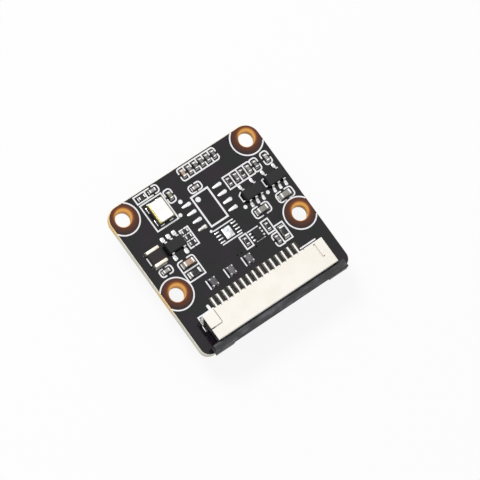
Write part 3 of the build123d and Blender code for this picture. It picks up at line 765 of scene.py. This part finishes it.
def cut_path(path, gaps):
    """What is left of a closed path when the gaps are taken out of it: its runs, each with
    whether it is closed."""
    fine = []
    for first, last in zip(path, path[1:] + path[:1]):
        steps = max(1, round(math.dist(first, last) / 0.04))
        for k in range(steps):
            fine.append(tuple(a + (b - a) * k / steps for a, b in zip(first, last)))
    kept = [not any(in_gap(point, gap) for gap in gaps) for point in fine]
    if all(kept):
        return [(straightened(fine + fine[:1])[:-1], True)]
    return [(straightened(run), False) for run in kept_runs(fine, kept)]


def straightened(line):
    """The line without the points that lie on a straight run."""
    kept = [line[0]]
    for before, point, after in zip(line, line[1:], line[2:]):
        left_turn = (point[0] - before[0]) * (after[1] - point[1])
        right_turn = (point[1] - before[1]) * (after[0] - point[0])
        if abs(left_turn - right_turn) > 1e-6:
            kept.append(point)
    return kept + [line[-1]]


def inside_board(x, y, margin):
    """Whether a frame place lies on the board, that far from its edge."""
    corner = (board_high.x - TOP_CORNER, board_high.y - TOP_CORNER)
    if abs(x) > corner[0] and y > corner[1]:
        return math.dist((abs(x), y), corner) < TOP_CORNER - margin
    is_within_foot = board_low.y + margin < y < board_high.y - margin
    return board_high.x - margin - abs(x) > 0 and is_within_foot


def ink_top():
    """Top of one printed line: the ink is never quite as thick twice."""
    return PRINT_HEIGHT + draw.uniform(0, 0.008)


def hole_rings(shape, floor, top):
    """Printed rings round the holes, cut off where the board ends."""
    for hole in HOLES:
        ring = arc(hole, RING_RADIUS, 0, 360, 120)[:-1]
        kept = [inside_board(*point, RING_MARGIN) for point in ring]
        for run in kept_runs(ring, kept):
            ribbon(shape, run, PRINT_WIDTH, floor, top)


def printed_lines():
    """All the white print on the rear face, as thin raised ink, and the rings on the front."""
    shape = bmesh.new()
    for left, top, right, bottom, radii, *gaps in PRINTED_BOXES:
        for line, closed in cut_path(box_path(left, top, right, bottom, radii), gaps):
            ribbon(shape, route(line), PRINT_WIDTH, 0.0, ink_top(), closed)
    ribbon(shape, route(box_path(*BIG_BOX, 0)), BIG_BOX_WIDTH, 0.0, ink_top(), True)
    for line, width in PRINTED_LINES:
        ribbon(shape, route(line), width, 0.0, ink_top())
    for across, down, radius in PRINTED_DOTS:
        slab(shape, arc(on_board(across, down), radius, 0, 360, 20)[:-1], 0.0, PRINT_HEIGHT)
    hole_rings(shape, 0.0, PRINT_HEIGHT)
    finish_piece(shape, "printed_lines", [print_ink], crease=30)
    shape = bmesh.new()
    hole_rings(shape, board_low.z - PRINT_HEIGHT, board_low.z)
    finish_piece(shape, "printed_rings_front", [print_ink], crease=30)


# Copper traces under the mask, in millimetres from the left and top edges.
TRACES = [
    [(9.14, 15.04), (10.6, 16.5), (10.6, 17.0)],
    [(8.3, 15.0), (9.1, 15.8), (9.1, 17.0)],
    [(12.03, 14.74), (11.2, 15.6), (11.2, 17.0)],
    [(12.7, 14.74), (12.0, 15.4), (12.0, 17.0)],
    [(14.97, 15.22), (14.6, 15.6), (14.6, 17.0)],
    [(16.4, 15.2), (15.7, 15.9), (15.7, 17.0)],
    [(24.2, 19.5), (24.2, 22.3)],
    [(10.7, 12.3), (9.6, 13.4), (9.6, 14.3), (9.14, 14.76)],
    [(10.3, 11.5), (9.0, 12.8), (9.0, 13.8)],
    [(14.9, 10.5), (15.8, 9.6), (15.8, 9.3)],
    [(15.1, 11.6), (16.4, 10.3), (16.9, 10.3)],
    [(16.7, 6.4), (17.0, 7.0), (17.0, 7.4)],
    [(10.3, 2.6), (11.4, 3.7), (11.4, 4.3)],
    [(10.0, 0.9), (11.3, 0.9), (11.9, 1.5)],
    [(18.7, 1.3), (19.6, 2.2), (19.6, 4.2)],
    [(18.7, 0.8), (20.2, 0.8), (20.5, 0.76)],
    [(20.57, 3.25), (20.0, 3.8), (20.0, 4.3)],
    [(15.0, 2.6), (15.9, 3.5), (16.6, 3.5)],
    [(5.4, 14.5), (6.0, 15.1), (6.0, 17.1)],
    [(4.9, 17.3), (4.9, 16.2), (4.6, 15.9)],
    [(7.4, 11.4), (8.4, 12.4), (8.4, 14.6)],
    [(7.6, 12.6), (7.9, 12.9), (7.9, 14.3)],
    [(0.8, 5.2), (0.8, 7.4), (1.2, 7.8)],
    [(3.9, 6.3), (4.3, 5.9), (4.3, 4.6)],
    [(20.6, 12.3), (20.6, 13.4), (20.3, 13.8)],
    [(21.0, 17.6), (22.3, 18.3), (23.6, 18.3)],
    [(20.5, 16.9), (21.2, 17.2), (22.6, 17.5)],
    [(10.3, 7.0), (9.4, 7.0)],
    [(15.0, 8.4), (16.6, 8.4)],
]
OPEN_VIAS = [(12.17, 14.6), (12.85, 14.6), (15.1, 15.07), (20.7, 0.72), (20.7, 3.1)]
VIAS = [
    (9.0, 14.9), (8.3, 15.0), (16.4, 15.2), (10.7, 12.3), (10.3, 11.5), (10.3, 2.6),
    (10.0, 0.9), (16.6, 3.5), (20.6, 12.3), (24.2, 19.5), (24.2, 22.3), (4.6, 15.9),
    (5.4, 14.5), (8.4, 14.6), (7.9, 14.3), (3.9, 6.3), (0.8, 5.2), (11.0, 3.0),
    (19.6, 2.2), (15.6, 16.2), (22.6, 17.5), (23.6, 18.3),
]


def via(shape, place, floor, out, is_open):
    """Small via: a low collar with a dimple that the mask fills, or, where it is open, a
    near-black disc of painted shade for its hole.
    """
    profile = [(0.2, 0.0), (0.17, 0.016), (0.11, 0.016), (0.1 if is_open else 0.06, 0.004)]
    rings = []
    for radius, rise in profile:
        rings.append(ring_at(shape, arc(place, radius, 0, 360, 14)[:-1], floor + out * rise))
    stack(shape, rings, (0, 0, 0, 0, 1 if is_open else 0))


def masked_copper():
    """Traces and vias that stand up a little under the mask, on both faces."""
    shape = bmesh.new()
    low = board_low.z
    # Each trace has its own height, so that no two tops lie in one plane where ends cross.
    for turn, line in enumerate(TRACES):
        ribbon(shape, route(line), TRACE_WIDTH, 0.0, TRACE_HEIGHT - TRACE_STEP * turn)
    for turn, line in enumerate(TRACES[::2]):
        mirrored = [(-x, y) for x, y in route(line)]
        ribbon(shape, mirrored, TRACE_WIDTH, low - TRACE_HEIGHT + TRACE_STEP * turn, low)
    for place in VIAS + OPEN_VIAS:
        for floor, out in ((0.0, 1), (low, -1)):
            via(shape, on_board(*place), floor, out, place in OPEN_VIAS)
    finish_piece(shape, "masked_copper", [black_mask, via_hole_shade], crease=25)


# Chips with plated ends

# Capacitors that aren't of the grey batch.
CERAMICS = {}
for ceramic_batch, chip_places in (
    (tan_ceramic, ("lower_left", "top_1")),
    (green_ceramic, ("clock_side",)),
    (dark_ceramic, ("top_3", "top_4", "top_5", "top_6", "right_1", "right_3", "lower_right")),
    (pale_ceramic, ("clock", "upper", "right_4", "hole")),
):
    for chip_place in chip_places:
        CERAMICS["capacitor_" + chip_place] = ceramic_batch
LARGE_CHIP = 1.3  # chips longer than this are of the larger size
INSET = 0.03  # a chip's body is that much smaller than its plated ends


def chip(name, solder_shape):
    """Chip with two plated ends and its solder, in place of its CAD node."""
    low, high = box_mm(name)
    middle, size = (low + high) / 2, high - low
    upright = size.y > size.x
    length, width = (size.y, size.x) if upright else (size.x, size.y)
    reach, half = length / 2, width / 2
    is_large = length > LARGE_CHIP
    is_resistor = name.startswith("resistor")
    shape = bmesh.new()
    if is_resistor:
        end, wear = 0.3 if is_large else 0.24, 0.045
        # White body, and the black face that stands a little above it.
        sole, flank, back = size.z * 0.74, half - INSET, reach - INSET
        block(shape, (-back, -flank, 0.01), (back, flank, sole), 0.02, 1)
        flank, back = half - 0.05, reach - end + INSET
        block(shape, (-back, -flank, sole - 0.03), (back, flank, size.z - 0.02), 0.03)
    else:
        end, wear = (0.35, 0.07) if is_large else (0.25, 0.055)
        flank, back = half - INSET, reach - end + 0.05
        block(shape, (-back, -flank, 0.02), (back, flank, size.z - INSET), 0.04)
    for side in (-1, 1):
        near, far = sorted((side * reach, side * (reach - end)))
        block(shape, (near, -half, 0), (far, half, size.z), wear, 2, 3)
        climb = size.z * draw.uniform(0.45, 0.7)
        way = Vector((0, side) if upright else (side, 0))
        place = middle.xy + way * reach
        solder_fillet(solder_shape, *place, way, half - 0.02, climb, 0.24 if is_large else 0.15)
    if upright:
        turn = Matrix.Rotation(math.radians(90), 3, "Z")
        bmesh.ops.rotate(shape, matrix=turn, verts=shape.verts)
    bmesh.ops.translate(shape, vec=(middle.x, middle.y, 0), verts=shape.verts)
    body = overcoat if is_resistor else CERAMICS.get(name, grey_ceramic)
    slot = "tan_ceramic" if body == tan_ceramic else "capacitor_ceramic"
    slot = "resistor_ceramic" if is_resistor else slot
    finish_piece(shape, name + "_chip", [body, alumina, chip_tin], name)


def choke(name, solder_shape):
    """Choke with four plated corners, in place of its CAD node."""
    low, high = box_mm(name)
    shape = bmesh.new()
    body_low = (low.x + INSET, low.y + INSET, 0.02)
    block(shape, body_low, (high.x - INSET, high.y - INSET, high.z - INSET), 0.05)
    for x0, x1 in ((low.x, low.x + 0.24), (high.x - 0.24, high.x)):
        for side, edge in ((-1, low.y), (1, high.y)):
            y0, y1 = sorted((edge, edge - side * 0.3))
            block(shape, (x0, y0, 0), (x1, y1, high.z), 0.05, 1, 3)
            solder_fillet(solder_shape, (x0 + x1) / 2, edge, (0, side), 0.1, 0.2, 0.08)
    pressed = dark_choke if name == "choke_1" else pale_ferrite
    finish_piece(shape, name + "_body", [pressed, lead_tin], name)


def inductor(solder_shape):
    """Pressed ferrite block and its wrapped ends, in place of their CAD nodes."""
    low, high = box_mm("inductor_core")
    shape = bmesh.new()
    block(shape, (low.x, low.y, 0), (high.x, high.y, high.z), 0.1, 0, 3)
    finish_piece(shape, "inductor_block", [dark_ferrite], "inductor_core")
    low, high = box_mm("inductor_terminals")
    shape = bmesh.new()
    for side, edge in ((-1, low.y), (1, high.y)):
        y0, y1 = sorted((edge, edge - side * 0.5))
        block(shape, (low.x, y0, 0), (high.x, y1, high.z), 0.13, 0, 3)
        solder_fillet(solder_shape, (low.x + high.x) / 2, edge, (0, side), 0.92, 0.25, 0.14)
    finish_piece(shape, "inductor_ends", [cream_tin], "inductor_terminals")


def moulded_case(name, draft):
    """Mould-tapered case with softened edges, in place of its CAD node."""
    low, high = box_mm(name)
    shape = bmesh.new()
    # Height, and how far the case is drawn in there: widest where the two mould halves meet.
    levels = [(low.z, draft), ((low.z + high.z) / 2, 0.0)]
    levels += [(high.z - 0.04, draft - 0.01), (high.z, draft + 0.05)]
    rings = []
    for z, inset in levels:
        sides = (low.x + inset, low.y + inset, high.x - inset, high.y - inset)
        rings.append(ring_at(shape, round_box(*sides, 0.05, 2), z))
    stack(shape, rings)
    finish_piece(shape, name + "_case", [mould_epoxy], name, crease=25)


def oscillator(solder_shape):
    """Ceramic base with its gold ring, and the lid, in place of their CAD nodes."""
    low, high = box_mm("oscillator_base")
    ring_foot = high.z - 0.2
    notch = 0.22
    outline = arc((high.x, high.y), notch, 270, 180, 6) + arc((low.x, high.y), notch, 360, 270, 6)
    outline += arc((low.x, low.y), notch, 90, 0, 6) + arc((high.x, low.y), notch, 180, 90, 6)
    shape = bmesh.new()
    slab(shape, outline, 0.0, ring_foot)
    # The gold ring: height, and how far it is drawn in at the sides and at the ends.
    levels = [(ring_foot, 0.02, 0.02), (ring_foot + 0.03, 0.02, 0.02), (high.z, 0.2, 0.07)]
    rings = []
    for z, side, end in levels:
        edge = round_box(low.x + side, low.y + end, high.x - side, high.y - end, notch, 5)
        rings.append(ring_at(shape, edge, z))
    stack(shape, rings, 1)
    # Gold plating runs down the four notches.
    for x in (low.x + 0.16, high.x - 0.16):
        for y in (low.y + 0.16, high.y - 0.16):
            slab(shape, arc((x, y), 0.1, 0, 360, 12)[:-1], 0.0, ring_foot * 0.7, 1)
    finishes = [dark_alumina, seal_gold]
    finish_piece(shape, "oscillator_ceramic", finishes, "oscillator_base")
    lid_low, lid_high = box_mm("oscillator_lid")
    step = 0.03
    shape = bmesh.new()
    rings = []
    for z, inset in ((lid_low.z, 0.0), (lid_high.z - step, 0.0), (lid_high.z, step)):
        sides = (lid_low.x + inset, lid_low.y + inset, lid_high.x - inset, lid_high.y - inset)
        rings.append(ring_at(shape, round_box(*sides, notch - inset, 5), z))
    stack(shape, rings, (1, 1, 0, 0))
    finish_piece(shape, "oscillator_cap", [lid_nickel, seal_gold], "oscillator_lid")
    # Solder shows as thin lines beside the base, two on each side.
    middle, reach = (low + high) / 2, (high - low) / 2
    for side in (-1, 1):
        for turn in (-1, 1):
            x, y = middle.x + side * (reach.x + 0.1), middle.y + turn * 1.02
            solder_pad(solder_shape, x, y, 0.19, 0.95, 0.12)
            x, y = middle.x + turn * 0.72, middle.y + side * (reach.y + 0.1)
            solder_pad(solder_shape, x, y, 0.65, 0.17, 0.1)


def wide_pads(shape):
    """Domed solder on the four pairs of pads of the wide empty place."""
    clouded = (10.4, 8.93)
    narrow_end, wide_end = 0.6, 0.48  # how far the centres of a pad's ends lie from its place
    for column in (10.4, 15.6):
        for down in (5.12, 6.39, 7.66, 8.93):
            x, y = on_board(column, down)
            finish = 2 if (column, down) == clouded else 0
            spine = ((x - narrow_end, y), (x + wide_end, y))
            outline = arc(spine[0], 0.19, 90, 270, 8) + arc(spine[1], 0.32, -90, 90, 8)
            mound(shape, outline, spine, 0.1 + draw.uniform(0.06, 0.12), finish)


def small_pads(shape):
    """Solder on the eight small pads, and the flat heat pad between them."""
    for column in (11.6, 14.42):
        for step in range(4):
            x, y = on_board(column, 10.55 + 0.5 * step)
            solder_pad(shape, x, y, 0.8, 0.2, 0.1)
    x, y = on_board(13.02, 11.3)
    outline = round_box(x - 0.67, y - 0.8, x + 0.67, y + 0.8, 0.08)
    mound(shape, outline, ((x, y - 0.2), (x, y + 0.2)), 0.13, 1, 6)


def lead_solder(shape):
    """Pads and solder under every bent or flat lead."""
    case_half, lead_reach, lead_pitch = 0.8, 0.65, 0.95
    for name in REGULATORS:
        # The left one is turned: three leads at its head and two at its foot.
        three_up = name == "regulator_left"
        pad_width, pad_length = (0.62, 0.84) if three_up else (0.48, 0.7)
        low, high = box_mm(name)
        middle = (low + high) / 2
        for side in (-1, 1):
            tip = middle.y + side * (case_half + lead_reach)
            three = (side == 1) == three_up
            for step in (-1, 0, 1) if three else (-1, 1):
                x = middle.x + lead_pitch * step
                solder_pad(shape, x, tip + side * 0.04, pad_width, pad_length, 0.12)
                solder_fillet(shape, x, tip, (0, side), 0.17, 0.17 + draw.uniform(0, 0.04), 0.3)
    low, high = box_mm("level_shifter")
    middle = (low + high) / 2
    for side in (-1, 1):
        for step in (-1, 0, 1):
            solder_pad(shape, middle.x + side * 0.78, middle.y + 0.5 * step, 0.46, 0.3, 0.1)


def connector_solder():
    """Pads and solder along the connector's tails, and at its two board locks."""
    tails_head = box_mm("ffc_contacts")[1].y
    head = tails_head + 0.1
    foot = head - 1.7
    shape = bmesh.new()
    for step in range(CONTACTS):
        x = step - (CONTACTS - 1) / 2
        outline = round_box(x - 0.3, foot, x + 0.46, head, 0.08)
        # The pads between the tails are dark flux solder and painted shade.
        mound(shape, outline, ((x + 0.1, foot + 0.2), (x + 0.1, head - 0.2)), 0.08, 1)
        solder_fillet(shape, x, tails_head, (0, 1), 0.08, 0.15, 0.1)
    low, high = box_mm("ffc_board_locks")
    for side in (-1, 1):
        x = side * (high.x - 0.03)
        outline = round_box(x - 0.1, low.y + 0.05, x + 0.1, high.y - 0.1, 0.05)
        mound(shape, outline, ((x, low.y + 0.2), (x, high.y - 0.2)), 0.16)
    finish_piece(shape, "connector_solder", [solder, flux_and_shade_solder], crease=40)


# CAD nodes that keep their shape


# Each node's finish, and how far its edges are softened.
DRESSED = [
    ("ffc_housing", ivory_nylon, 0.035),
    ("ffc_slider", charcoal_nylon, 0.04),
    ("ffc_contacts", contact_tin, 0.03),
    # The board locks are darkened as a painted reflection of the slider's dark arms.
    ("ffc_board_locks", flux_and_shade_solder, 0.02),
    ("level_shifter_leads", lead_tin, 0.02),
    ("foam_pad", foam_tape, 0),
    ("stiffener_plate", steel_plate, 0.03),
    ("flex_circuit", flex_film, 0),
    ("image_sensor", sensor_die, 0.02),
    ("infrared_filter", filter_glass, 0),
    ("lens_holder", black_polymer, 0.04),
    ("lens_barrel", black_barrel, 0.03),
    ("front_lens", lens_glass, 0),
    ("board_socket", socket_nylon, 0.03),
    ("flex_plug", black_polymer, 0.03),
]
DRESSED += [(name + "_leads", lead_tin, 0.02) for name in REGULATORS]


def dress(node, material, edge):
    """Gives a CAD node its finish and, where its edge isn't nought, softened edges."""
    piece = nodes[node]
    piece.data.materials.clear()
    piece.data.materials.append(material)
    if edge:
        weld = piece.modifiers.new("weld", "WELD")
        weld.merge_threshold = 1e-6
        flat = piece.modifiers.new("flat_faces", "DECIMATE")
        flat.decimate_type = "DISSOLVE"
        flat.angle_limit = math.radians(1)
        soft = piece.modifiers.new("soft_edges", "BEVEL")
        soft.width = edge * MM
        soft.segments = 2
        soft.limit_method = "ANGLE"
        soft.angle_limit = math.radians(35)
        soft.harden_normals = True


def flex_lines():
    """Copper lines that show through the flex's film, on the side that faces away."""
    first, pitch, spread, thick = -2.1, 0.3, 1.4, 0.01
    shape = bmesh.new()
    front = box_mm("flex_circuit")[0].z
    for step in range(15):
        x = first + pitch * step
        line = [(x, -1.9), (x, 1.2), (x * spread, 1.9), (x * spread, 3.4)]
        ribbon(shape, line, 0.12, front - thick, front + thick)
    finish_piece(shape, "flex_lines", [flex_copper], crease=25)


# Stage

VIEW_BACK = Vector((-0.3242, -0.1272, 0.9374))  # from the object to the camera
VIEW_UP = Vector((0.5213, 0.8029, 0.2892))
VIEW_CENTRE = Vector((1.238, -4.834, 0.0)) * MM  # what the middle of the picture looks at
VIEW_WIDTH = 64.853 * MM
VIEW_DISTANCE = 0.6
SENSOR = 36.0


def camera():
    """Long lens at the photograph's angle."""
    lens = bpy.data.cameras.new("camera")
    lens.sensor_width = SENSOR
    lens.lens = SENSOR * VIEW_DISTANCE / VIEW_WIDTH
    lens.clip_start, lens.clip_end = 0.01, 10.0
    eye = new_object("camera", lens)
    back = VIEW_BACK.normalized()
    right = VIEW_UP.cross(back).normalized()
    up = back.cross(right)
    eye.rotation_mode = "QUATERNION"
    eye.rotation_quaternion = Matrix((right, up, back)).transposed().to_quaternion()
    eye.location = VIEW_CENTRE + back * VIEW_DISTANCE
    bpy.context.scene.camera = eye


def lamp(name, way, distance, size, power):
    """Square soft light, looking at the middle of the board."""
    light = bpy.data.lights.new(name, "AREA")
    light.shape = "SQUARE"
    light.size = size
    light.energy = power
    holder = new_object(name, light)
    way = Vector(way).normalized()
    holder.location = VIEW_CENTRE + way * distance
    holder.rotation_mode = "QUATERNION"
    holder.rotation_quaternion = (-way).to_track_quat("-Z", "Y")


def seen(tree, share):
    """That share where the camera, a reflection or glass looks at the surface, else nothing."""
    path = add(tree, "LightPath").outputs
    links = {0: path["Is Camera Ray"], 1: path["Is Glossy Ray"]}
    direct = add(tree, "Math", None, links, operation="ADD")
    links = {0: direct, 1: path["Is Transmission Ray"]}
    looked = add(tree, "Math", None, links, operation="ADD", use_clamp=True)
    return add(tree, "Math", {1: share}, {0: looked}, operation="MULTIPLY").outputs[0]


def show_white(tree, lit, kind, share, output):
    """Mixes white into what is lit, by that share of what is seen."""
    white = add(tree, kind, {"Color": WHITE, "Strength": 1.0})
    links = {0: seen(tree, share), 1: lit, 2: white}
    mixed = add(tree, "MixShader", None, links)
    tree.links.new(mixed.outputs[0], tree.nodes[output].inputs["Surface"])


def studio():
    """Pale floor that shows white, even room light, and a soft light behind the camera's left."""
    world = bpy.data.worlds.new("room")
    bpy.context.scene.world = world
    world.use_nodes = True
    room = world.node_tree.nodes["Background"]
    room.inputs["Color"].default_value = WHITE
    room.inputs["Strength"].default_value = 0.4
    show_white(world.node_tree, room, "Background", 1.0, "World Output")
    lamp("soft_light", (-0.2, 0.45, 0.87), 0.5, 0.16, 1.65)
    floor_mesh = bpy.data.meshes.new("floor")
    shape = bmesh.new()
    bmesh.ops.create_grid(shape, x_segments=1, y_segments=1, size=1.5)
    shape.to_mesh(floor_mesh)
    shape.free()
    floor = new_object("floor", floor_mesh)
    floor.location.z = cad_low.z - 0.00002
    material = bpy.data.materials.new("pale_floor")
    material.use_nodes = True
    shader = material.node_tree.nodes["Principled BSDF"]
    shader.inputs["Base Color"].default_value = paint("#F0F0F1")
    shader.inputs["Roughness"].default_value = 0.8
    show_white(material.node_tree, shader, "Emission", 0.9, "Material Output")
    floor_mesh.materials.append(material)
    bpy.context.scene.view_settings.view_transform = "Standard"


camera()
circuit_board()
printed_lines()
masked_copper()
reflowed = bmesh.new()
for chip_name in sorted(nodes):
    if chip_name.startswith(("capacitor_", "resistor_")):
        chip(chip_name, reflowed)
    elif chip_name.startswith("choke_"):
        choke(chip_name, reflowed)
inductor(reflowed)
lead_blobs = bmesh.new()
oscillator(lead_blobs)
lead_solder(lead_blobs)
finish_piece(lead_blobs, "lead_solder", [solder], crease=40)
finish_piece(reflowed, "reflowed_solder", [dull_solder], crease=40)
bare_pads = bmesh.new()
wide_pads(bare_pads)
small_pads(bare_pads)
pad_finishes = [solder, cloudy_solder, clouded_solder]
finish_piece(bare_pads, "bare_pad_solder", pad_finishes, "tinned_pads", 40)
for case_name in REGULATORS:
    moulded_case(case_name, 0.1)
moulded_case("level_shifter", 0.05)
connector_solder()
for node, material, edge in DRESSED:
    dress(node, material, edge)
flex_lines()
studio()
